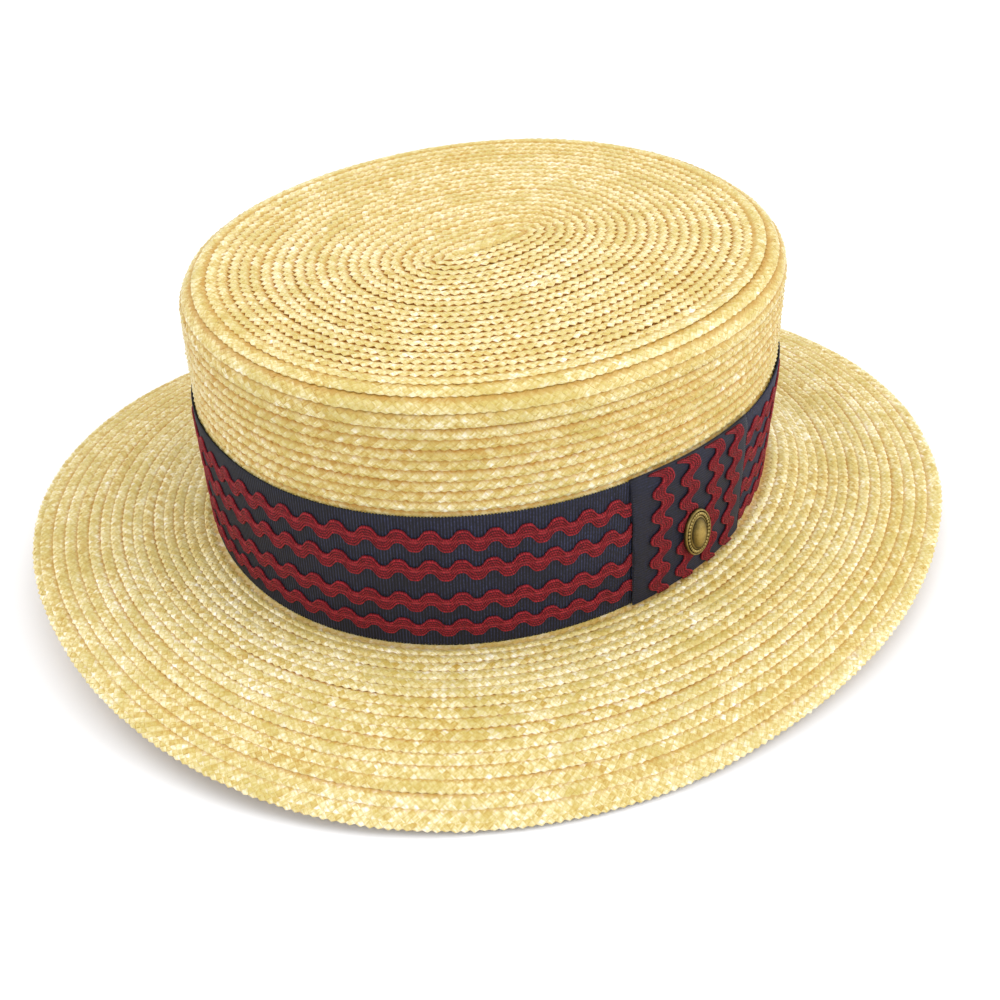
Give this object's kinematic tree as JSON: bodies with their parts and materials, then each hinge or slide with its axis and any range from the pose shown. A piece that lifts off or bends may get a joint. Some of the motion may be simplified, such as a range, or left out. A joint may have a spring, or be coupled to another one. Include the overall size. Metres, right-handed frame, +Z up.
{
  "type": "straw boater hat",
  "caption": "Straw boater hat with a flat oval crown, a wide gently waved brim, a ribbed ribbon band with rows of wavy braid, a flat tab of the same ribbon and a small oval brooch.",
  "frame": {"origin": "middle of the bounding box on the floor that the brim stands on", "axes": "+Z up through the crown, -Y the front of the hat, +X the wearer's left, where the flat tab is"},
  "size_m": [0.2942, 0.3196, 0.1049],
  "materials": {
    "straw": "glossy natural wheat straw, plaited and sewn",
    "ribbon": "matt navy grosgrain, fine ribs across",
    "wavy_braid": "matt dark red woven braid",
    "aged_brass": "antique, darkened in the hollows"
  },
  "bodies": {
    "root": {"crown": "straw", "brim": "straw", "band": "ribbon", "ricrac_1": "wavy_braid", "ricrac_2": "wavy_braid", "ricrac_3": "wavy_braid", "ricrac_4": "wavy_braid", "bow_tab": "ribbon", "tab_ricrac_1": "wavy_braid", "tab_ricrac_2": "wavy_braid", "tab_ricrac_3": "wavy_braid", "tab_ricrac_4": "wavy_braid", "brooch": "aged_brass"}
  },
  "joints": []
}
